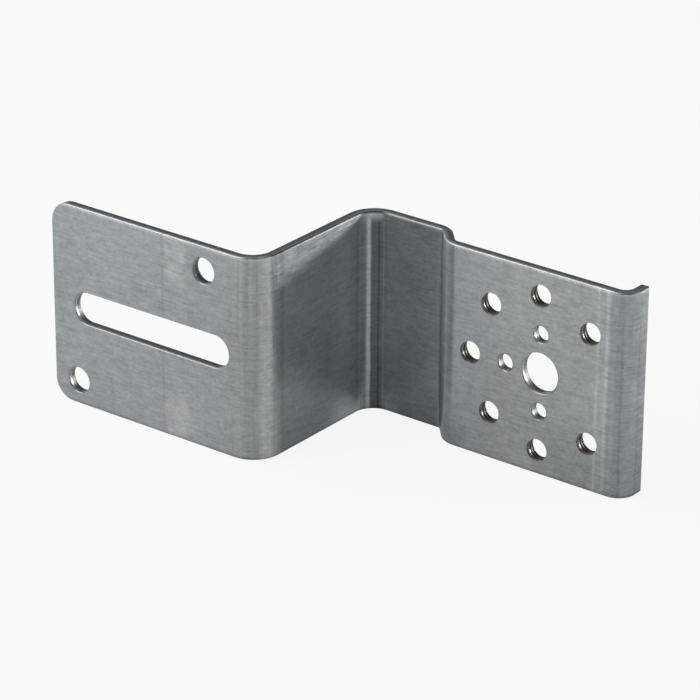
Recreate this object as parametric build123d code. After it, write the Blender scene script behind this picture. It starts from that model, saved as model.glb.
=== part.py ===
from build123d import *
import os
from math import radians, tan

# Stamped metal bracket: one sheet of steel, blanked, pierced and folded about upright bends.
# Millimetres, +Z up. The sheet stands on its lower cut edge; its front side faces -Y.
# Seen from above it runs along +X: slotted flange, web, land, joggle, tapped plate and lip.

# Sheet
sheet_thickness = 3.0
bracket_height = 66.0
end_corner_radius = 6.8        # the two corners of the flange's free end
edge_roll = 0.6                # round that the punch draws along every front rim

# Folds, measured on the front side
flange_length = 81.0           # free end to the web's front
web_depth = 54.7               # flange's front to the land's front
land_length = 26.8             # web's front to the joggle
joggle_offset = 7.3            # how far the plate's front stands before the land's
joggle_angle = 48.0            # slope of the joggle, degrees
plate_length = 66.0            # joggle to the lip's outer face
lip_depth = 9.7                # plate's front to the lip's free edge
bend_radius = 6.5              # inside radius of the two bends beside the web
lip_bend_radius = 3.0          # inside radius of the lip's bend
joggle_inner_radius = 2.0      # the struck joggle is tight inside its corners
joggle_outer_radius = 9.0      # and drawn wide outside them

# Slotted flange
slot_length = 61.0             # end to end
slot_width = 10.5
slot_from_end = 39.0           # free end to the slot's middle
bolt_hole_diameter = 8.2
upper_hole_from_end = 60.0
upper_hole_from_top = 8.0
lower_hole_from_end = 9.5
lower_hole_from_base = 8.0

# Hole pattern of the plate
pattern_from_lip = 31.1        # pattern's middle to the lip's outer face
centre_hole_diameter = 12.8
tapped_circle_diameter = 50.0
tapped_place_count = 8         # the place towards the lip is left out
tap_drill_diameter = 6.8
locating_circle_diameter = 25.0
locating_place_count = 4       # the place towards the lip is left out here too
locating_hole_diameter = 5.2


def fold_corners():
    """Sharp corners of the folded sheet's plan, along its front side and along its back side."""
    t = sheet_thickness
    slope_run = joggle_offset / tan(radians(joggle_angle))
    mitre = t * tan(radians(joggle_angle / 2))
    joggle_start = flange_length + land_length
    plate_start = joggle_start + slope_run
    lip_face = plate_start + plate_length
    plate_front = web_depth - joggle_offset
    lip_edge = plate_front + lip_depth
    front = [
        (0, 0),
        (flange_length, 0),
        (flange_length, web_depth),
        (joggle_start, web_depth),
        (plate_start, plate_front),
        (lip_face, plate_front),
        (lip_face, lip_edge),
    ]
    back = [
        (0, t),
        (flange_length - t, t),
        (flange_length - t, web_depth + t),
        (joggle_start + mitre, web_depth + t),
        (plate_start + mitre, plate_front + t),
        (lip_face - t, plate_front + t),
        (lip_face - t, lip_edge),
    ]
    return front, back


def fold_lines(front, back):
    """The plan's front and back lines, with each bend as an arc."""
    t = sheet_thickness
    front_radii = [
        bend_radius + t,
        bend_radius,
        joggle_inner_radius,
        joggle_outer_radius,
        lip_bend_radius + t,
    ]
    back_radii = [
        bend_radius,
        bend_radius + t,
        joggle_outer_radius,
        joggle_inner_radius,
        lip_bend_radius,
    ]
    return FilletPolyline(*front, radius=front_radii), FilletPolyline(*back, radius=back_radii)


def folded_sheet(front_line, back_line):
    """The folded strip with its rounded end corners, before any hole is pierced."""
    ends = [Line(front_line @ end, back_line @ end) for end in (0, 1)]
    outline = front_line.edges() + back_line.edges() + ends
    strip = extrude(make_face(outline), bracket_height)
    free_end = strip.edges().filter_by(Axis.Y).group_by(Axis.X)[0]
    return fillet(free_end, end_corner_radius)


def punch(profile, x, front_y, z):
    """A tool of the given profile, pushed through the sheet whose front is at front_y."""
    reach = 2 * sheet_thickness
    return Pos(x, front_y, z) * Rot(90, 0, 0) * extrude(profile, reach, both=True)


def flange_punches():
    """Slot and two bolt holes of the flange."""
    bolt_hole = Circle(bolt_hole_diameter / 2)
    slot = SlotOverall(slot_length, slot_width)
    return [
        punch(slot, slot_from_end, 0, bracket_height / 2),
        punch(bolt_hole, upper_hole_from_end, 0, bracket_height - upper_hole_from_top),
        punch(bolt_hole, lower_hole_from_end, 0, lower_hole_from_base),
    ]


def ring_punches(diameter, circle_diameter, places, middle):
    """Equal holes on a circle, with the first place, towards the lip, left out."""
    ring = PolarLocations(circle_diameter / 2, places).locations[1:]
    profile = Circle(diameter / 2)
    x, y, z = middle
    return [punch(profile, x + spot.position.X, y, z + spot.position.Y) for spot in ring]


def plate_punches(middle):
    """Centre hole and locating holes of the plate."""
    centre = punch(Circle(centre_hole_diameter / 2), *middle)
    locating = ring_punches(
        locating_hole_diameter, locating_circle_diameter, locating_place_count, middle
    )
    return [centre] + locating


def tap_drills(middle):
    """Tapped holes of the plate. They are drilled after the punch, so their rims stay sharp."""
    return ring_punches(tap_drill_diameter, tapped_circle_diameter, tapped_place_count, middle)


def front_rims(sheet, front_line):
    """Edges round the front side and its holes: those that only one front face uses."""
    on_line = 0.001
    upright = 0.5

    def is_front(face):
        middle = face.position_at(0.5, 0.5)
        level = Vertex(middle.X, middle.Y, 0)
        return (
            abs(face.normal_at(middle).Z) < upright
            and front_line.distance_to(level) < on_line
        )

    edges = [edge for face in sheet.faces() if is_front(face) for edge in face.edges()]
    return [edge for edge in edges if edges.count(edge) == 1]


front_corners, back_corners = fold_corners()
front_line, back_line = fold_lines(front_corners, back_corners)
lip_face, plate_front = front_corners[5]
pattern_middle = (lip_face - pattern_from_lip, plate_front, bracket_height / 2)

sheet = folded_sheet(front_line, back_line)
sheet -= flange_punches() + plate_punches(pattern_middle)
sheet = fillet(front_rims(sheet, front_line), edge_roll)
sheet -= tap_drills(pattern_middle)

# The origin is under the middle of the whole bracket, on the plane that it stands on.
extent = sheet.bounding_box()
bracket = Pos(-extent.center().X, -extent.center().Y, -extent.min.Z) * sheet

os.makedirs("parts", exist_ok=True)
export_step(bracket, "parts/bracket.step")
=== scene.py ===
# %% [markdown]
# # A stamped and folded steel bracket
# The real part starts as a flat blank of 3 mm zinc-coated sheet. A press pierces its slot and its
# holes, taps seven of the holes, and folds the blank about five upright lines.
# This lesson follows the same order. The blank is modelled flat, where holes are easy to place.
# Its threads come from Geometry Nodes, and one rule then folds every point of the finished blank.
# Cutting the holes into a folded sheet with Boolean modifiers would work as well, but it leaves
# ragged triangles at the rims, and the rims are where a punched part gets its character.
# The CAD model is loaded first, because it fixes the place and the size of everything that follows.

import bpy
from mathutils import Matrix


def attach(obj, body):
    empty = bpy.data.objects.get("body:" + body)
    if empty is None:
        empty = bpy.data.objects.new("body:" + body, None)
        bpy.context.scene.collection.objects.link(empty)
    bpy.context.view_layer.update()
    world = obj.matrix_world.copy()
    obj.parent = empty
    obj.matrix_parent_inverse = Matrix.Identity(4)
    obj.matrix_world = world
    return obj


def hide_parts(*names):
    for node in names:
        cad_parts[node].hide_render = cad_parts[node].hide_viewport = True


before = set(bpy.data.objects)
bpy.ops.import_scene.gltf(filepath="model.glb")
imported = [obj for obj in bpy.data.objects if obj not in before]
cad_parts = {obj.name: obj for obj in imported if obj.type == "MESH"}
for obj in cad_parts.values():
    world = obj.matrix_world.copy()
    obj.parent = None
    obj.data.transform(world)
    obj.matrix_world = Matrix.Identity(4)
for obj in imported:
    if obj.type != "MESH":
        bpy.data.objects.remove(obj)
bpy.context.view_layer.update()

# %% [markdown]
# ## Sizes
# A drawing of a folded part gives its outside sizes, the inside radius of each bend and the places
# of the holes. The same values are written here once, in millimetres, and everything below is
# worked out from them. Blender's own unit is the metre, so lengths are scaled at the very end.

# %% Sizes of the sheet, in millimetres
import math
from math import cos, radians, sin, tan, tau

import bpy
import numpy as np

MM = 0.001
thickness = 3.0
height = 66.0
flange_length, web_depth, land_length = 81.0, 54.7, 26.8
joggle_offset, joggle_angle = 7.3, radians(48)
plate_length, lip_depth = 66.0, 9.7
slope_run = joggle_offset / tan(joggle_angle)
mitre = thickness * tan(joggle_angle / 2)
joggle_start = flange_length + land_length
plate_start = joggle_start + slope_run
lip_face = plate_start + plate_length
plate_front = web_depth - joggle_offset
print(f"folded: {lip_face:.3f} mm long, {web_depth + thickness:.1f} mm deep, {height:.1f} mm high")

# %% [markdown]
# ## The fold, seen from above
# A folded sheet has the same section at every height, so two lines seen from above describe it:
# one along its front side and one along its back. Each line turns through the same angle at each
# bend, with its own radius. Both get the same number of points, so point 40 of the front line lies
# straight through the sheet from point 40 of the back line. That pairing is what folds the blank.
# A corner with no turn is added where the sheet is square again after the joggle, so that holes
# beyond it run straight through.

# %% A line with arcs at its corners
square_again = plate_start + 5.3       # just past the end of the joggle's wide arc
bend_step = radians(3)


def fold_line(corners, radii):
    """Points along a line with an arc at each inner corner, a point for every few degrees."""
    corners = [np.array(corner, float) for corner in corners]
    line = [corners[0]]
    for before, corner, after, radius in zip(corners, corners[1:], corners[2:], radii):
        into = (corner - before) / np.linalg.norm(corner - before)
        out = (after - corner) / np.linalg.norm(after - corner)
        turn = math.acos(min(1.0, into @ out))
        side = 1 if into[0] * out[1] > into[1] * out[0] else -1
        across = np.array([-into[1], into[0]]) * side
        centre = corner - into * radius * tan(turn / 2) + across * radius
        steps = math.ceil(turn / bend_step - 0.01)
        for step in range(steps + 1):
            angle = turn * step / max(steps, 1)
            line.append(centre + radius * (into * sin(angle) - across * cos(angle)))
    line.append(corners[-1])
    return np.array(line)


print("an arc gets a point every", round(math.degrees(bend_step)), "degrees")

# %% Front and back lines of the fold
bend_radius, lip_bend_radius = 6.5, 3.0
joggle_inner_radius, joggle_outer_radius = 2.0, 9.0
front_line = fold_line(
    [(0, 0), (flange_length, 0), (flange_length, web_depth), (joggle_start, web_depth),
     (plate_start, plate_front), (square_again, plate_front), (lip_face, plate_front),
     (lip_face, plate_front + lip_depth)],
    [bend_radius + thickness, bend_radius, joggle_inner_radius, joggle_outer_radius, 0.0,
     lip_bend_radius + thickness])
back_line = fold_line(
    [(0, thickness), (flange_length - thickness, thickness),
     (flange_length - thickness, web_depth + thickness),
     (joggle_start + mitre, web_depth + thickness),
     (plate_start + mitre, plate_front + thickness), (square_again, plate_front + thickness),
     (lip_face - thickness, plate_front + thickness),
     (lip_face - thickness, plate_front + lip_depth)],
    [bend_radius, bend_radius + thickness, joggle_outer_radius, joggle_inner_radius, 0.0,
     lip_bend_radius])
run = np.concatenate([[0], np.cumsum(np.linalg.norm(np.diff(front_line, axis=0), axis=1))])
blank_length = run[-1]
print(f"{len(run)} stations, blank {blank_length:.2f} mm long")


def run_at(x):
    """The run along the blank of a place on the plate, which stands at x once folded."""
    at = np.flatnonzero(np.abs(front_line - (square_again, plate_front)).max(axis=1) < 1e-6)[0]
    return run[at] + x - square_again


# %% [markdown]
# ## Holes of the blank
# Each hole is a closed loop of points, and each point knows which way the metal lies from it. The
# same is true of the blank's own edge. With that one fact, any edge can be given a rounded or
# sheared section by moving its loop into the metal by some amount at some depth.
# Tapped holes get a wider loop here, because a collar of the thread itself closes the gap later.

# %% Loops of the blank: run along it, height, and the way into the metal
flange_holes = {"upper": (60.0, height - 8.0), "lower": (9.5, 8.0)}
bolt_radius = 4.1
slot_middle, slot_reach, slot_radius = 39.0, 25.25, 5.25
pattern = (run_at(lip_face - 31.1), height / 2)
centre_radius = 6.4
locating_circle, locating_radius = 12.5, 2.6
tapped_circle, tapped_places, thread_collar = 25.0, 8, 4.45
collar_points = 48


def round_hole(middle, radius, points):
    """A circle, and the outward direction at each of its points."""
    ways = np.array([(cos(tau * i / points), sin(tau * i / points)) for i in range(points)])
    return np.array(middle) + radius * ways, ways


def slot_hole(middle, reach, radius, points, spacing=4.2):
    """A slot with round ends, with points along its sides as well."""
    places, ways = [], []
    for end, first in ((1, -0.25), (-1, 0.25)):
        for i in range(points + 1):
            angle = tau * (first + 0.5 * i / points)
            ways.append((cos(angle), sin(angle)))
            places.append((middle[0] + end * reach + radius * cos(angle),
                           middle[1] + radius * sin(angle)))
        sides = round(2 * reach / spacing)
        for i in range(1, sides):
            ways.append((0, end))
            places.append((middle[0] + end * reach * (1 - 2 * i / sides),
                           middle[1] + end * radius))
    return np.array(places), np.array(ways)


def on_circle(radius, places):
    """Places round the pattern's middle, with the one towards the lip left out."""
    angles = [tau * i / places for i in range(1, places)]
    return [(pattern[0] + radius * cos(a), pattern[1] + radius * sin(a)) for a in angles]


locating_middles = on_circle(locating_circle, places=4)
tapped_middles = on_circle(tapped_circle, tapped_places)
pierced = [round_hole(middle, bolt_radius, points=48) for middle in flange_holes.values()]
pierced.append(slot_hole((slot_middle, height / 2), slot_reach, slot_radius, points=24))
pierced.append(round_hole(pattern, centre_radius, points=64))
pierced += [round_hole(middle, locating_radius, points=40) for middle in locating_middles]
tapped = [round_hole(middle, thread_collar, collar_points) for middle in tapped_middles]
print(len(pierced), "pierced holes and", len(tapped), "tapped holes")

# %% [markdown]
# ## The blank's own edge
# The blank is a rectangle with two rounded corners at its free end. Its long edges need a point at
# every station of the fold, because those are the places where the sheet will bend.

# %% Outline of the blank
corner_radius = 6.8
corner_points = 13             # a quarter of a circle of 48 points, with both its ends
flat_spacing = 5.5             # longest step along the edge of a flat
bends = run[1:-1]
flange_flat = (run[0], bends[0])
plate_flat = (run_at(square_again), bends[bends > run_at(square_again) + 1][0])


def even(first, last, spacing):
    """Places from first up to last, about one spacing apart, without the last."""
    return np.linspace(first, last, max(2, round((last - first) / spacing) + 1))[:-1]


steps = [even(a, b, flat_spacing) for a, b in zip(run[:-1], run[1:])]
stations = np.concatenate(steps + [[blank_length]])
edge_runs = stations[stations > corner_radius + 0.5]
heights = np.linspace(0, height, 13)


def outline():
    """The blank's edge, anticlockwise from the lower rounded corner, and the way into the metal."""
    places, ways = [], []

    def corner(middle, first):
        for i in range(corner_points):
            angle = first + i * tau / 48
            ways.append((-cos(angle), -sin(angle)))
            places.append((middle[0] + corner_radius * cos(angle),
                           middle[1] + corner_radius * sin(angle)))

    corner((corner_radius, corner_radius), tau / 2)
    places += [(r, 0.0) for r in edge_runs]
    ways += [(0, 1)] * (len(edge_runs) - 1) + [(-1, 1)]
    places += [(blank_length, z) for z in heights[1:-1]]
    ways += [(-1, 0)] * (len(heights) - 2)
    places += [(r, height) for r in edge_runs[::-1]]
    ways += [(-1, -1)] + [(0, -1)] * (len(edge_runs) - 1)
    corner((corner_radius, height - corner_radius), tau / 4)
    upright = heights[(heights > corner_radius + 1) & (heights < height - corner_radius - 1)][::-1]
    places += [(0.0, z) for z in upright]
    ways += [(1, 0)] * len(upright)
    return np.array(places), np.array(ways, float)


edge = outline()
print(len(edge[0]), "points round the blank")

# %% [markdown]
# ## The section of a punched edge
# A punch draws the front of the sheet down before it cuts, so the front rim is rolled over. Below
# it comes a sheared wall, then a break that tears slightly wider, and a small sharp break at the
# back. A bevel all round would be easier, but a real cut is never the same on both sides. So the
# section is written out, each pair being how far into the metal a point lies and how deep.

# %% Section of a punched edge
edge_roll = 0.6
cut_section = [(edge_roll * (1 - sin(a)), edge_roll * (1 - cos(a)))
               for a in np.linspace(0, tau / 4, 6)]
cut_section += [(0.0, 0.75), (0.0, 1.25), (0.025, 1.4), (0.05, 2.2), (0.07, 2.9), (0.15, thickness)]
print(len(cut_section), "points in the section of a punched edge")

# %% [markdown]
# ## Sides of the blank
# Both sides are filled with triangles between the loops. Blender's Delaunay function does that and
# keeps every edge it is given, such as the upright lines that will become bends. Spare points a few
# millimetres apart keep the triangles well shaped. A triangle with all its corners on the loop of
# one hole lies inside that hole, and is left out.

# %% What is metal, and what is hole
def in_metal(place, clearance=0.0):
    """True where a place of the blank is clear of every hole."""
    x, z = place
    along = min(max(x, slot_middle - slot_reach), slot_middle + slot_reach)
    if math.hypot(x - along, z - height / 2) < slot_radius + clearance:
        return False
    rings = [(middle, bolt_radius) for middle in flange_holes.values()] + [(pattern, centre_radius)]
    rings += [(middle, locating_radius) for middle in locating_middles]
    rings += [(middle, thread_collar) for middle in tapped_middles]
    return all(math.hypot(x - m[0], z - m[1]) > radius + clearance for m, radius in rings)


print("metal at the pattern's middle:", in_metal(pattern))

# %% Places on the flat sides: loops, upright lines at the bends, and spare points
loops = [edge] + pierced + tapped
sheared = [True] * (1 + len(pierced)) + [False] * len(tapped)
flat_places, fixed_edges, starts = [], [], []
for (places, ways), cut in zip(loops, sheared):
    start = len(flat_places)
    starts.append(start)
    flat_places += list(places + ways * edge_roll if cut else places)
    count = len(places)
    fixed_edges += [(start + i, start + (i + 1) % count) for i in range(count)]

# Upright lines from the lower edge to the upper, at every station of the bends and plain flats.
first_edge = corner_points
for k, station in enumerate(edge_runs[:-1]):
    if flange_flat[1] - 0.01 < station < plate_flat[0] + 0.01 or station > plate_flat[1] - 0.01:
        lower = first_edge + k
        upper = first_edge + 2 * len(edge_runs) + len(heights) - 3 - k
        column = [lower]
        for z in heights[1:-1]:
            column.append(len(flat_places))
            flat_places.append(np.array((station, z)))
        column.append(upper)
        fixed_edges += list(zip(column, column[1:]))

# Spare points, each row half a step higher than its neighbour, like the cells of a honeycomb.
row_spacing, spare_spacing, spare_clearance = 5.0, 4.8, 1.6
spare_rows = [even(4.0, flange_flat[1], row_spacing), even(*plate_flat, row_spacing)[1:]]
for rows in spare_rows:
    for k, station in enumerate(rows):
        for z in np.arange(4.5 + (k % 2) * spare_spacing / 2, height - 4, spare_spacing):
            if in_metal((station, z), spare_clearance):
                flat_places.append(np.array((station, z)))
print(len(flat_places), "places and", len(fixed_edges), "edges to keep")

# %% Fill between the loops
from mathutils import Vector
from mathutils.geometry import delaunay_2d_cdt

filled = delaunay_2d_cdt([Vector(p) for p in flat_places], fixed_edges, [], 0, 1e-5)
loop_of = np.zeros(len(flat_places), int)
for number, (start, (places, ways)) in enumerate(zip(starts, loops)):
    loop_of[start:start + len(places)] = number
side_faces = [tuple(face) for face in filled[2]
              if len({loop_of[i] for i in face}) > 1 or loop_of[face[0]] == 0]
print(len(side_faces), "triangles on each side")

# %% [markdown]
# ## Walls of the blank
# The front side and the back side share one set of triangles. Each loop then gets a wall of rings
# between them, one ring for each pair of the sheared section. A number called cut is kept for each
# point, 0 on both sides and on the rolled rim and 1 on a sheared wall, so that the finish can tell
# them apart later.

# %% Join the two sides with sheared walls
points = [(p[0], 0.0, p[1]) for p in flat_places]
back_start = len(points)
points += [(p[0], thickness, p[1]) for p in flat_places]
cut_amount = [0.0] * len(points)
faces = side_faces + [tuple(back_start + i for i in face[::-1]) for face in side_faces]
for (places, ways), cut, start in zip(loops, sheared, starts):
    count = len(places)
    if not cut:
        continue
    for i in range(count):
        x, z = places[i] + ways[i] * cut_section[-1][0]
        points[back_start + start + i] = (x, thickness, z)
    rings = [list(range(start, start + count))]
    for into, depth in cut_section[1:-1]:
        rings.append(list(range(len(points), len(points) + count)))
        moved = places + ways * into
        points += [(x, depth, z) for x, z in moved]
        cut_amount += [float(depth > edge_roll + 0.01)] * count
    rings.append(list(range(back_start + start, back_start + start + count)))
    for upper, lower in zip(rings, rings[1:]):
        faces += [(upper[i], upper[(i + 1) % count], lower[(i + 1) % count], lower[i])
                  for i in range(count)]

blank = bpy.data.meshes.new("blank")
blank.from_pydata([tuple(MM * value for value in point) for point in points], [], faces)
blank.attributes.new("cut", "FLOAT", "POINT").data.foreach_set("value", cut_amount)
print(len(points), "points and", len(faces), "faces in the flat blank")

# %% [markdown]
# ## Sums written as sums
# Both Geometry Nodes and materials are built from nodes, and a formula written node by node is hard
# to read. This small class wraps one output socket. Adding or multiplying two of them adds the Math
# node that does it, so a formula looks like a formula. Every node comes from one method.

# %% Wires that can be added, multiplied and compared
class Wire:
    """An output socket on a board, for use in sums."""

    def __init__(self, board, socket):
        self.board, self.socket = board, socket

    def maths(self, operation, *values):
        inputs = dict(enumerate(values))
        return self.board.add("ShaderNodeMath", {"operation": operation}, inputs)

    def __add__(self, other):
        return self.maths("ADD", self, other)

    def __sub__(self, other):
        return self.maths("SUBTRACT", self, other)

    def __rsub__(self, other):
        return self.maths("SUBTRACT", other, self)

    def __mul__(self, other):
        return self.maths("MULTIPLY", self, other)

    def __truediv__(self, other):
        return self.maths("DIVIDE", self, other)

    def __rtruediv__(self, other):
        return self.maths("DIVIDE", other, self)

    def __lt__(self, other):
        return self.maths("LESS_THAN", self, other)

    def __gt__(self, other):
        return self.maths("GREATER_THAN", self, other)

    __radd__, __rmul__ = __add__, __mul__

    def output(self, name):
        """Another output of the same node."""
        return Wire(self.board, self.socket.node.outputs[name])

    def clamped(self, low=0.0, high=1.0):
        return self.maths("MINIMUM", self.maths("MAXIMUM", self, low), high)


print("wires can be added, multiplied and compared")

# %% A board that any node is added to
class Board:
    """A node tree that nodes are added to."""

    def __init__(self, tree):
        self.tree = tree

    def add(self, kind, settings=None, inputs=None, output=0):
        """Adds a node: its settings first, then the values or wires of its inputs."""
        node = self.tree.nodes.new(kind)
        for name, value in (settings or {}).items():
            setattr(node, name, value)
        for name, value in (inputs or {}).items():
            if isinstance(value, Wire):
                self.tree.links.new(value.socket, node.inputs[name])
            else:
                node.inputs[name].default_value = value
        return Wire(self, node.outputs[output]) if len(node.outputs) else node


print("node helpers ready")

# %% [markdown]
# ## Tapped holes
# A tap leaves a groove that climbs the wall of the hole like a stair, 1.25 mm for each turn on an
# 8 mm screw. Its crest is where the drill went, and its root is where the tap's teeth reached.
# Geometry Nodes make one sleeve of it: a grid whose rows are bent round the hole and slanted to
# follow the helix, with the radius taken from the thread's section. Rows that would stick out of
# the sheet are held at its sides, where they fall together and are merged, and that leaves the
# run-out that a real thread has at its mouth. The sleeve is then set at the places of a circle,
# apart from the one towards the lip. The tap starts each hole alike, so no sleeve is turned.

# %% One sleeve of thread
rows_a_turn = 8
first_turn = -0.153            # share of a turn by which the groove's mouth is turned


def thread_sleeve(board, size):
    """A grid rolled into a threaded sleeve, with a flat collar at each side of the sheet."""
    turns = size["Sheet"] / size["Pitch"]
    rows = turns.maths("CEIL", (turns + 1) * rows_a_turn + 4)
    grid = board.add("GeometryNodeMeshGrid", None,
                     {"Size X": 1.0, "Size Y": 1.0, "Vertices X": collar_points + 1,
                      "Vertices Y": rows + 3})
    place = board.add("ShaderNodeSeparateXYZ", None,
                      {0: board.add("GeometryNodeInputPosition")})
    around = place + 0.5
    row = (place.output("Y") + 0.5) * (rows + 2)
    collar = (row < 0.5) + (row > rows + 1.5)

    # Down the helix: a row drops by one pitch in one trip round the hole.
    depth = ((row - 2.5) / rows_a_turn - around - first_turn) * size["Pitch"]
    depth = depth.clamped(0.0, size["Sheet"])
    phase = depth / size["Pitch"] + around + first_turn
    from_side = depth.maths("MINIMUM", depth, size["Sheet"] - depth)
    from_root = phase.maths("ABSOLUTE", phase.maths("FRACT", phase) - 0.5)
    flank = ((from_root - 1 / 16) * 4).clamped()
    radius = size["Root Radius"] + (size["Crest Radius"] - size["Root Radius"]) * flank
    radius = radius * (1 - collar) + size["Collar Radius"] * collar
    angle = around * tau
    bent = board.add("ShaderNodeCombineXYZ", None,
                     {0: radius * angle.maths("COSINE", angle), 1: depth,
                      2: radius * angle.maths("SINE", angle)})
    sleeve = board.add("GeometryNodeStoreNamedAttribute", {"data_type": "FLOAT"},
                       {"Geometry": grid, "Name": "cut",
                        "Value": (from_side / (0.1 * MM)).clamped() * (1 - collar)})
    sleeve = board.add("GeometryNodeSetPosition", None, {"Geometry": sleeve, "Position": bent})
    return board.add("GeometryNodeMergeByDistance", None, {"Geometry": sleeve, "Distance": 2e-6})


print(rows_a_turn, "rows for each turn of the thread")

# %% Geometry Nodes tree for the threads
def thread_tree(finish):
    """Sets a sleeve at each place of a circle but the first. Its inputs are sizes, in metres."""
    tree = bpy.data.node_groups.new("tapped_holes", "GeometryNodeTree")
    sizes = ["Pitch", "Crest Radius", "Root Radius", "Collar Radius", "Sheet", "Circle Radius"]
    for name in sizes:
        tree.interface.new_socket(name, in_out="INPUT", socket_type="NodeSocketFloat")
    tree.interface.new_socket("Places", in_out="INPUT", socket_type="NodeSocketInt")
    tree.interface.new_socket("Middle", in_out="INPUT", socket_type="NodeSocketVector")
    tree.interface.new_socket("Geometry", in_out="OUTPUT", socket_type="NodeSocketGeometry")
    board = Board(tree)
    source = tree.nodes.new("NodeGroupInput")
    size = {output.name: Wire(board, output) for output in source.outputs if output.name}

    ring = board.add("GeometryNodeMeshCircle", None,
                     {"Vertices": size["Places"], "Radius": size["Circle Radius"]})
    first = board.add("FunctionNodeCompare", {"data_type": "INT", "operation": "EQUAL"},
                      {2: board.add("GeometryNodeInputIndex"), 3: 0})
    ring = board.add("GeometryNodeDeleteGeometry", {"domain": "POINT"},
                     {"Geometry": ring, "Selection": first})
    ring = board.add("GeometryNodeTransform", None,
                     {"Geometry": ring, "Rotation": (tau / 4, 0, 0), "Translation": size["Middle"]})
    holes = board.add("GeometryNodeInstanceOnPoints", None,
                      {"Points": ring, "Instance": thread_sleeve(board, size)})
    holes = board.add("GeometryNodeRealizeInstances", None, {"Geometry": holes})
    holes = board.add("GeometryNodeSetMaterial", None, {"Geometry": holes, "Material": finish})
    result = tree.nodes.new("NodeGroupOutput")
    tree.links.new(holes.socket, result.inputs[0])
    return tree


print("the tree sets its sleeves on a circle")

# %% Seven threads as a plain mesh
zinc_steel = bpy.data.materials.new("zinc_steel")
threads = thread_tree(zinc_steel)
thread_sizes = {
    "Pitch": 1.25 * MM, "Crest Radius": 3.4 * MM, "Root Radius": 4.0 * MM,
    "Collar Radius": thread_collar * MM, "Sheet": thickness * MM,
    "Circle Radius": tapped_circle * MM, "Places": tapped_places,
    "Middle": (pattern[0] * MM, 0.0, pattern[1] * MM)}
host = bpy.data.objects.new("thread_host", bpy.data.meshes.new("thread_host"))
bpy.context.scene.collection.objects.link(host)
tapping = host.modifiers.new("tapping", "NODES")
tapping.node_group = threads
for socket in threads.interface.items_tree:
    if socket.in_out == "INPUT":
        tapping[socket.identifier] = thread_sizes[socket.name]
sleeves = bpy.data.meshes.new_from_object(
    host.evaluated_get(bpy.context.evaluated_depsgraph_get()))
bpy.data.objects.remove(host)
print(len(sleeves.vertices), "points and", len(sleeves.polygons), "faces in seven threads")

# %% [markdown]
# ## One closed sheet
# The sleeves' collars have the same points as the holes left for them in the blank, so merging
# points that lie together closes the mesh. A closed mesh has an inside and an outside, and Blender
# can then turn every face outwards.

# %% Set the threads into the blank
import bmesh

sheet = bmesh.new()
sheet.from_mesh(blank)
sheet.from_mesh(sleeves)
bmesh.ops.remove_doubles(sheet, verts=sheet.verts, dist=1.5e-6)
bmesh.ops.dissolve_degenerate(sheet, edges=sheet.edges, dist=1e-7)
bmesh.ops.recalc_face_normals(sheet, faces=sheet.faces)
open_edges = [e for e in sheet.edges if len(e.link_faces) != 2]
print("edges without two faces:", len(open_edges))
print("volume in cm3:", round(sheet.calc_volume() * 1e6, 3))

# %% [markdown]
# ## Folding
# Each point still lies in the flat blank, as a run along it, a depth through it and a height. Those
# three numbers are kept on the mesh under the name blank, because rolling marks and scratches were
# made on flat sheet and bend with it. Folding then reads the two plan lines at the point's run and
# goes from the front line towards the back line by the share of the thickness.

# %% Fold the sheet
rolled = bpy.data.meshes.new("bracket_sheet")
sheet.to_mesh(rolled)
sheet.free()
flat = np.zeros(3 * len(rolled.vertices))
rolled.vertices.foreach_get("co", flat)
rolled.attributes.new("blank", "FLOAT_VECTOR", "POINT").data.foreach_set("vector", flat)
flat = flat.reshape(-1, 3) / MM
through = (flat[:, 1] / thickness)[:, None]
front = np.stack([np.interp(flat[:, 0], run, front_line[:, axis]) for axis in (0, 1)], axis=1)
back = np.stack([np.interp(flat[:, 0], run, back_line[:, axis]) for axis in (0, 1)], axis=1)
plan = front * (1 - through) + back * through
plan -= (lip_face / 2, (web_depth + thickness) / 2)
folded = np.column_stack([plan, flat[:, 2]]) * MM
rolled.vertices.foreach_set("co", folded.ravel())
rolled.update()
print("folded box in mm:", ((folded.max(0) - folded.min(0)) / MM).round(3))

# %% [markdown]
# ## Smooth bends, crisp edges
# Smooth shading blends the light across faces. On its own it would bleed from the narrow faces of a
# bend into the wide flats beside it, so a Weighted Normal modifier lets the large faces decide.
# Edges that turn by more than 40 degrees stay sharp, which keeps the threads crisp.

# %% Shade the folded sheet
rolled.materials.clear()
rolled.materials.append(zinc_steel)
rolled.shade_smooth()
rolled.set_sharp_from_angle(angle=radians(40))
bracket = bpy.data.objects.new("bracket_sheet", rolled)
bpy.context.scene.collection.objects.link(bracket)
weighting = bracket.modifiers.new("large faces decide", "WEIGHTED_NORMAL")
weighting.keep_sharp = True
weighting.weight = 80
shaded = bpy.data.meshes.new_from_object(
    bracket.evaluated_get(bpy.context.evaluated_depsgraph_get()))
bracket.modifiers.clear()
bracket.data = shaded
shaded.name = "bracket_sheet"
for polygon in shaded.polygons:
    polygon.material_index = 0
triangles = sum(len(polygon.vertices) - 2 for polygon in shaded.polygons)
print(len(shaded.materials), "material,", triangles, "triangles")

# %% [markdown]
# ## Zinc-coated steel: where a point lies
# The sheet was rolled flat, so its grain runs along the blank in fine streaks, and it goes round
# the bends with the sheet. A pattern on plain object coordinates would cut across the bends, so
# the material reads the blank's own three numbers instead: run, depth and height.

# %% Places on the blank, for the finish
def board_for(owner):
    """An empty board on a material or a world."""
    owner.use_nodes = True
    owner.node_tree.nodes.clear()
    return Board(owner.node_tree)


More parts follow.
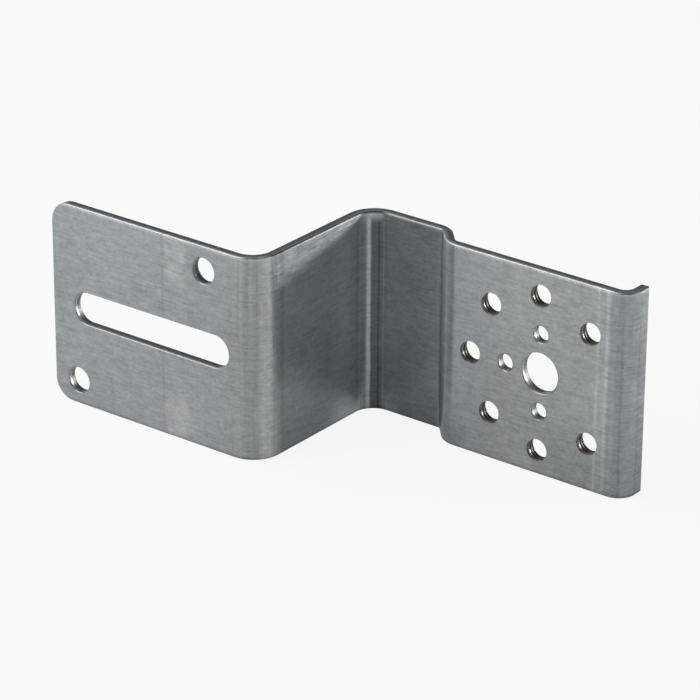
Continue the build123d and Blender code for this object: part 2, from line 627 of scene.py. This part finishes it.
steel = board_for(zinc_steel)
blank_place = steel.add("ShaderNodeAttribute", {"attribute_name": "blank"}, None, "Vector")
cut = steel.add("ShaderNodeAttribute", {"attribute_name": "cut"}, None, "Fac").clamped()
millimetres = steel.add("ShaderNodeVectorMath", {"operation": "SCALE"},
                        {"Vector": blank_place, "Scale": 1 / MM})
along = steel.add("ShaderNodeSeparateXYZ", None, {0: millimetres})
depth, upward = along.output("Y"), along.output("Z")


def noise(size_along, size_through, size_up, detail=2.0, roughness=0.5):
    """Cloudy noise about 0, with features of the given sizes in millimetres."""
    scaled = steel.add("ShaderNodeVectorMath", {"operation": "MULTIPLY"},
                       {0: millimetres, 1: (1 / size_along, 1 / size_through, 1 / size_up)})
    cloud = steel.add("ShaderNodeTexNoise", None,
                      {"Vector": scaled, "Scale": 1.0, "Detail": detail, "Roughness": roughness})
    return cloud - 0.5


def band(value, low, high, soft):
    """1 between low and high, fading to 0 over a soft margin outside them."""
    return ((value - (low - soft)) / soft).clamped() * ((high + soft - value) / soft).clamped()


front_side = ((0.9 - depth) * 3).clamped() * (1 - cut)
back_side = ((depth - 2.1) * 3).clamped() * (1 - cut)
print("coordinates of the blank are ready")

# %% [markdown]
# ## Rolling grain and zinc clouds
# Seen close, rolled zinc is never one grey. Long fine streaks come from the mill's rolls, and soft
# clouds from the coating. Each is one noise, stretched to its own size, and the tone is simply one
# plus their sum. A very faint warm tint comes and goes with the widest clouds.

# %% Grain and clouds
grain = noise(10.0, 3.0, 0.7, 3.0, 0.6)
fine_grain = noise(1.5, 1.0, 0.9, 2.0, 0.7)
small_cloud = noise(4.5, 5.0, 2.6, 3.0, 0.6)
wide_cloud = noise(34.0, 30.0, 26.0, 2.0)
tone = 1 + grain * 0.65 + fine_grain * 0.6 + small_cloud * 0.55 + wide_cloud * 0.3
warmth = (noise(22.0, 20.0, 17.0, 2.0) * 2.5).clamped()
print("four noises make the tone")

# %% [markdown]
# ## What all tool marks share
# Folding tools leave marks of their own, always upright here because the bends are. They could be
# painted on a texture, but a band at some run along the blank needs no picture and stays sharp at
# any distance. Each mark is such a band. One slow noise makes all of them wander by a fraction of
# a millimetre, a second is drawn out into upright streaks, and a third wears marks away in places.

# %% Wander, wear and sums of bands
mark_run = along + noise(60.0, 60.0, 9.0, 2.0) * 0.5
streak = noise(1.7, 30.0, 70.0, 2.0, 0.6)
worn = (0.75 + noise(3.0, 3.0, 14.0, 3.0) * 1.8).clamped()


def bands(value, *shares):
    """The sum of several bands, each given as low, high, soft margin and strength."""
    return sum(band(value, low, high, soft) * strength for low, high, soft, strength in shares)


print("tool marks wander and wear")

# %% [markdown]
# ## Marks of the pressure pad
# A pad held the flange flat while the web was folded up beside it. It left a fine dark line and two
# patches that are slightly lighter and warmer. A patch with straight sides would look like a
# sticker, so one blotchy noise shifts both its coordinates, which makes its outline ragged.

# %% Pad marks on the flange
blotch = noise(7.0, 60.0, 8.0, 3.0, 0.6)
pad_run, pad_up = mark_run + blotch * 6, upward + blotch * 9
pad_reach = bands(pad_up, (54.0, 62.0, 6.0, 1.0), (1.0, 11.0, 6.0, 1.0)) + 0.2
pad_grain = (0.8 + noise(5.0, 9.0, 4.0, 2.0) * 2.4).clamped()
pad_patch = band(pad_run, 46.2, 52.4, 1.8) * pad_reach * pad_grain
pad_line = band(mark_run, 43.9, 44.3, 0.5)
print("two patches and a line")

# %% [markdown]
# ## The outside of the bends
# Sheet that is pulled over a die stretches, and its grain opens into upright streaks. The die's
# shoulders rub bright lines beside the lip bend. A band in the first bend is a painted highlight,
# and darker bands in and beside the bends are painted shade. The slope of the joggle and the web
# next to the bend into the land are lightened as painted light, the slope less near its foot.

# %% Drawn and rubbed bends, with painted highlights and shade
first_bend = band(along, 72.0, 85.5, 2.0)
lip_bend = band(along, 225.2, 234.0, 1.5)
shoulder_glow = band(along, 219.6, 223.4, 1.6)
drawn = streak * (first_bend * 0.55 + lip_bend * 0.6 + shoulder_glow * 0.3)
# The band in the first bend is a painted highlight; the two beside the lip bend are rubbed lines.
rubbed_lines_and_highlight = bands(mark_run, (81.5, 83.0, 1.0, 0.22), (219.8, 220.2, 0.4, 0.26),
               (222.8, 223.4, 0.6, 0.26)) * worn
# Painted light: the slope of the joggle is lightened like a reflection, less near its foot.
painted_joggle_light = bands(along, (159.5, 164.4, 1.2, 0.43), (160.2, 165.6, 1.8, 0.43))
painted_joggle_light = painted_joggle_light * ((upward - 5) / 20).clamped()
# Painted light on the web next to the bend into the land.
painted_web_light = band(along, 117.0, 126.0, 6.0)
# Painted shade: darker bands in the first bend, on the web just past it, in the lip bend and on the
# lip.
painted_bend_shade = bands(along, (76.4, 78.6, 1.4, 0.10), (87.8, 88.8, 0.9, 0.14), (224.8, 228.6, 1.2, 0.10),
               (228.0, 234.0, 2.0, 0.06), (234.0, 239.0, 1.5, 0.33))
lightened = (pad_patch * 0.17 + rubbed_lines_and_highlight + painted_joggle_light + shoulder_glow * 0.05 + painted_web_light * 0.18
             + drawn)
# Tool marks together with the painted highlights and painted shade above.
marks_and_painted_light = lightened - pad_line * 0.10 - painted_bend_shade
print("marks on the outside of the bends")

# %% [markdown]
# ## The inside of the bends
# A dark upright stripe with a fine seam runs down the inside of the bend between web and land.
# Several bands add up to it, and their sum is held below a limit so that it never turns black. Its
# first two bands are painted shade on the web's side of the bend. The land lies deepest, and it is
# darkened as painted shade of a recess, more towards its top and its foot.

# %% A dark stripe inside the bend, and painted shade
# The first two bands are painted shade on the web's side of the bend; the rest make the dark
# stripe.
inside_stripe_and_shade = bands(mark_run, (126.8, 128.3, 0.6, 0.2), (127.8, 128.5, 0.5, 0.2),
             (130.15, 132.3, 0.5, 0.71), (132.7, 133.2, 0.7, 0.56), (133.7, 134.7, 0.5, 0.12))
front_stripe_and_shade = inside_stripe_and_shade.clamped(0.0, 0.75) * band(upward, -2.0, height - 3.5, 2.5)
half_way = upward / height - 0.5
from_half = half_way.maths("ABSOLUTE", half_way)
# Painted shade: the land is darker as a recess, more towards its top and its foot.
painted_recess_shade = band(along, 134.0, 154.0, 2.0) * (0.18 + from_half * 0.26)
print("a dark stripe inside the bend")

# %% [markdown]
# ## Rims
# The rolled rim catches the light, because it turns through every direction in half a millimetre.
# Its colour adds painted light as well. Along the top of the flange and the plate it gets a painted
# highlight, with a painted glint on the flat just below. Along the web, the land and the lip it is
# rougher, and its colour there is darkened as painted shade. Along the foot, the rim and the flat
# just above it get painted shade.

# %% Painted highlights and shade on the rims
inner_bend = band(along, 84.0, 133.0, 3.0)
lip_rim = band(along, 229.0, 240.0, 2.0)
rolled_rim = band(depth, 0.05, 0.6, 0.04) * (1 - cut)
top_rim = rolled_rim * (upward > height - 1)
# Painted light: a highlight on the top rim, darkened as painted shade along the web and the lip, a
# painted glint just below it, and painted shade along the foot.
painted_top_rim_light = top_rim * (0.18 - inner_bend * 0.9 - lip_rim * 0.6)
painted_glint = (upward > height - 0.95) * front_side * (1 - inner_bend) * (1 - rolled_rim)
painted_foot_shade = rolled_rim * (upward < 1) + (upward < 1.1) * front_side * (1 - rolled_rim) * 0.5
painted_rim_light = painted_top_rim_light + painted_glint * 0.3 - painted_foot_shade * 0.4
print("rims of the top and of the foot")

# %% [markdown]
# ## Marks on the back
# On the back, light and dark change places: dark stripes lie inside the first bend and the lip
# bend, and it is rubbed and streaked round the bend between web and land, where the other half of
# each tool touched it.

# %% Back marks
back_inside_stripe = bands(mark_run, (77.4, 80.6, 0.8, 0.45), (227.6, 229.0, 0.6, 0.45))
back_marks = bands(mark_run, (119.5, 120.1, 0.5, 0.14), (139.8, 140.5, 0.6, 0.14)) * worn
back_marks = back_marks + streak * band(along, 122.0, 138.5, 2.0) * 0.55
print("marks of the tools' other half")

# %% [markdown]
# ## Slow changes of tone
# Even a plain flat is never one tone. The flange and the plate are lighter at the top and darker
# downwards, as painted light, and the foot of the web, the joggle and the plate get painted shade,
# more than the rest. The flange also fades towards its bend as painted shade, and the plate is a
# little darker overall. These are wide bands with soft margins, hard to see one by one, but without
# them the sheet would look like painted card.

# %% Tone from end to end and from top to foot
plate = band(along, 176.0, 240.0, 8.0)
flange = band(along, -1.0, 76.0, 4.0)
# Painted light and shade: lighter at the top, darker at the foot and towards the first bend.
painted_top_light = half_way * (plate * 0.2 + flange * 0.06)
painted_flange_shade = ((along - 38) / 36).clamped() * flange * 0.09
low_web = ((along - 85) / 4.5).clamped() * ((119 - along) / 12).clamped()
painted_low_shade = (band(upward, -1.0, 6.0, 14.0) * low_web * 0.32
             + band(upward, -1.0, 3.0, 12.0) * band(along, 141.0, 169.0, 5.0) * 0.3
             + band(upward, -1.0, 8.0, 14.0) * band(along, 203.0, 222.0, 8.0) * 0.09)
painted_slow_light = painted_top_light - painted_flange_shade - plate * 0.04 - painted_low_shade
print("slow changes of tone")

# %% [markdown]
# ## All marks together
# Marks that lie over each other multiply, as the dark stripe and the painted recess shade do, and
# marks and painted light beside each other can simply be added. The same bands also warm the colour
# a little where the sheet was rubbed, because bare rubbed zinc is less blue than its coating.

# %% Tone and warmth of the sides
# The tone carries the painted highlights and painted shade along with the marks.
tone = tone * (1 + marks_and_painted_light * front_side + painted_rim_light + back_marks * back_side)
tone = tone * (1 - (front_stripe_and_shade + painted_recess_shade) * front_side) * (1 - back_inside_stripe * back_side)
tone = tone * (1 + painted_slow_light * front_side)
rubbed_warm = (first_bend + band(along, 184.0, 221.0, 6.0)) * 0.5
warmth = warmth * 0.5 + (pad_patch * 0.6 + rubbed_warm + front_stripe_and_shade * 0.3) * front_side
warmth = warmth.clamped()
print("one tone and one warmth for both sides")

# %% [markdown]
# ## Cut edges
# Where the punch went through, the wall shows two zones. Next to the rolled rim it is burnished:
# smooth, bright and scored through the sheet. Deeper down the steel tore, and that zone is dark,
# rough and striped. Threads get a dark brownish colour that stands for a trace of cutting oil and
# is also painted shade inside them, so a ring of it lies round the pattern's middle at the distance
# where the threads are. Depth decides between the zones, which needs no extra material and follows
# every hole.

# %% Cut edges
burnished = band(depth, 0.2, 1.1, 0.25)
scores = noise(0.35, 6.0, 0.35, 2.0)
torn = noise(0.7, 2.4, 0.7, 3.0, 0.6)
from_middle = steel.add("ShaderNodeVectorMath", {"operation": "DISTANCE"},
                        {0: millimetres, 1: (pattern[0], 1.5, pattern[1])}, "Value")
oil_and_shade = band(from_middle, 20.0, 30.0, 0.5) * (0.8 + torn * 1.4).clamped()
cut_tone = (1 + scores * 0.9) * burnished + (1 + torn * 2.2) * (1 - burnished)
print("burnished and torn zones")

# %% [markdown]
# ## Putting the finish together
# The colour is mixed from zinc on the sides and bare steel on the cuts, and multiplied by the tone.
# The grain also raises a faint relief, and it is what stretches reflections upright, because light
# spreads across a grain. That stretch is the shader's Anisotropic setting. Zinc has a thin dull
# skin over the metal, so Metallic stays a little below 1.

# %% The colour
def mixed(amount, first, second, blend="MIX"):
    """A colour between two colours, or their product."""
    return steel.add("ShaderNodeMix", {"data_type": "RGBA", "blend_type": blend},
                     {0: amount, 6: first, 7: second}, 2)


def grey(value):
    """A colour with the same value in red, green and blue."""
    return steel.add("ShaderNodeCombineColor", None, {0: value, 1: value, 2: value})


zinc_colour = mixed(warmth, (0.404, 0.432, 0.445, 1), (0.439, 0.435, 0.420, 1))
bare_colour = mixed(burnished, (0.145, 0.145, 0.141, 1), (0.37, 0.37, 0.362, 1))
side_colour = mixed(1.0, zinc_colour, grey(tone), "MULTIPLY")
cut_colour = mixed(1.0, bare_colour, grey(cut_tone), "MULTIPLY")
# The dark brown of the threads is cutting oil and painted shade inside them.
wall_colour = mixed(oil_and_shade, cut_colour, (0.085, 0.077, 0.065, 1))
colour = mixed(cut, side_colour, wall_colour)
print("colour of the sides and of the cuts")

# %% Roughness and relief
side_rough = 0.37 + grain * 0.22 + small_cloud * 0.09 + wide_cloud * 0.08
side_rough = side_rough + top_rim * (inner_bend + lip_rim) * 0.2
wall_rough = 0.5 - burnished * 0.14 + torn * 0.2
roughness = side_rough * (1 - cut) + wall_rough * cut
side_relief = grain * 0.7 + fine_grain * 0.3
wall_relief = torn * (1 - burnished) + scores * burnished
relief = side_relief * (1 - cut) + wall_relief * cut
normal = steel.add("ShaderNodeBump", None,
                   {"Strength": 0.3, "Distance": 0.04 * MM, "Height": relief})
print("roughness and a faint relief")

# %% The surface
surface = steel.add("ShaderNodeBsdfPrincipled", None,
                    {"Base Color": colour, "Metallic": 0.92, "Roughness": roughness,
                     "Anisotropic": 0.5, "Anisotropic Rotation": 0.25, "Normal": normal})
steel.add("ShaderNodeOutputMaterial", None, {"Surface": surface})
print(len(zinc_steel.node_tree.nodes), "nodes in the finish")

# %% [markdown]
# ## Floor
# A bracket is shown on plain white, as a catalogue would show it. A floor that only glows would be
# perfectly even, but the bracket would float on it, and a floor that is only lit turns grey. So to
# the camera most of its white glows and the rest is matte and lit, which leaves a soft shadow. To
# rays that come off the steel, less of it glows, and the steel mirrors a floor a little darker than
# the horizon.

# %% Floor
def rays(board):
    """Whether a ray comes from the camera, and whether it comes off a shiny surface."""
    camera_ray = board.add("ShaderNodeLightPath")
    mirrored = camera_ray.output("Is Glossy Ray") + camera_ray.output("Is Transmission Ray")
    return camera_ray, mirrored.clamped()


floor_white = bpy.data.materials.new("floor_white")
ground = board_for(floor_white)
camera_ray, mirrored = rays(ground)
matte = ground.add("ShaderNodeBsdfDiffuse", None, {"Color": (0.86, 0.86, 0.86, 1)})
glow = ground.add("ShaderNodeEmission", None, {"Color": (1, 1, 1, 1), "Strength": 1.0})
floor_shader = ground.add("ShaderNodeMixShader", None,
                          {0: camera_ray * 0.88 + mirrored * 0.3, 1: matte, 2: glow})
ground.add("ShaderNodeOutputMaterial", None, {"Surface": floor_shader})

floor_mesh = bpy.data.meshes.new("floor")
floor_mesh.from_pydata([(-4, -4, 0), (4, -4, 0), (4, 4, 0), (-4, 4, 0)], [], [(0, 1, 2, 3)])
floor_mesh.materials.append(floor_white)
floor = bpy.data.objects.new("floor", floor_mesh)
bpy.context.scene.collection.objects.link(floor)
print("white floor, 8 m square")

# %% [markdown]
# ## Surround
# To the camera the surround is plain white. Rays that come off the steel find it white near the
# horizon and dim overhead, as in a studio with its ceiling lights off, so the lamps stand out as
# highlights and faces that look upwards stay dark. The rays that are left light the matte part of
# the floor, and they find less than half of the white, or the shadow would fade away.

# %% Surround
surround = bpy.data.worlds.new("surround")
bpy.context.scene.world = surround
sky = board_for(surround)
camera_ray, mirrored = rays(sky)
rise = sky.add("ShaderNodeSeparateXYZ", None,
               {0: sky.add("ShaderNodeTexCoord", None, None, "Generated")}, "Z")
overhead = ((rise - 0.04) / 0.22).clamped()
other = (1 - camera_ray) * (1 - mirrored)
strength = camera_ray + mirrored * (1 - overhead * 0.8) + other * 0.42
light = sky.add("ShaderNodeBackground", None, {"Color": (1, 1, 1, 1), "Strength": strength})
sky.add("ShaderNodeOutputWorld", None, {"Surface": light})
print("white surround, dim overhead")

# %% [markdown]
# ## Lamps
# Metal shows its lamps as shapes, so a small lamp would leave hard dots on every rim. Both lamps
# are soft rectangles instead. The key lamp is wide, hangs high at the front left and lights the
# rims. The rim lamp is low, and it stands far behind the right, where it rakes along the sheet's
# upper edge. It is hidden from diffuse rays, or it would print a bright patch on the floor.

# %% Lamps
def soft_lamp(name, place, aim, width, depth, watts):
    """A rectangular soft lamp at place, turned towards aim."""
    lamp = bpy.data.lights.new(name, "AREA")
    lamp.shape, lamp.size, lamp.size_y, lamp.energy = "RECTANGLE", width, depth, watts
    holder = bpy.data.objects.new(name, lamp)
    holder.location = place
    holder.rotation_euler = (Vector(aim) - Vector(place)).to_track_quat("-Z", "Y").to_euler()
    bpy.context.scene.collection.objects.link(holder)
    return holder


middle = (0, 0, 0.03)
soft_lamp("key_lamp", (-0.85, -0.63, 1.12), middle, 1.6, 1.3, 12.5)
rim_lamp = soft_lamp("rim_lamp", (1.48, 1.94, 0.53), (-0.01, 0, 0.05), 1.0, 0.3, 54)
rim_lamp.visible_diffuse = False
print("two soft lamps")

# %% [markdown]
# ## Camera
# A long lens from a metre away keeps upright edges nearly parallel, as in a drawing. The camera is
# set by the point it looks at, two angles, a slight roll and a distance, which are easier to judge
# than a position and three rotations. The Standard view transform keeps the white of the floor.

# %% Camera
from mathutils import Matrix


def camera_ways(azimuth, elevation, roll):
    """Right, up and back of a camera that stands at azimuth and elevation, then rolls."""
    back = Vector((sin(azimuth) * cos(elevation), -cos(azimuth) * cos(elevation), sin(elevation)))
    right = Vector((cos(azimuth), sin(azimuth), 0))
    up = back.cross(right)
    return cos(roll) * right + sin(roll) * up, cos(roll) * up - sin(roll) * right, back


right, up, back = camera_ways(radians(37.474), radians(24.380), radians(0.357))
look_at = Vector((8.189, -6.897, 35.348)) * MM
camera_distance = 1.092108
turned = Matrix((right, up, back)).transposed().to_4x4()
lens = bpy.data.cameras.new("camera")
lens.sensor_width, lens.lens = 36.0, 188.84
lens.clip_start, lens.clip_end = 0.01, 20
camera = bpy.data.objects.new("camera", lens)
camera.matrix_world = Matrix.Translation(look_at + back * camera_distance) @ turned
bpy.context.scene.collection.objects.link(camera)
bpy.context.scene.camera = camera
bpy.context.scene.view_settings.view_transform = "Standard"
print("camera", [round(value, 4) for value in camera.location])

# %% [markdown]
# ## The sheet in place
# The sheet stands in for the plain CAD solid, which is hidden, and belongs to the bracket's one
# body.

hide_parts("bracket")
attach(bracket, "root")
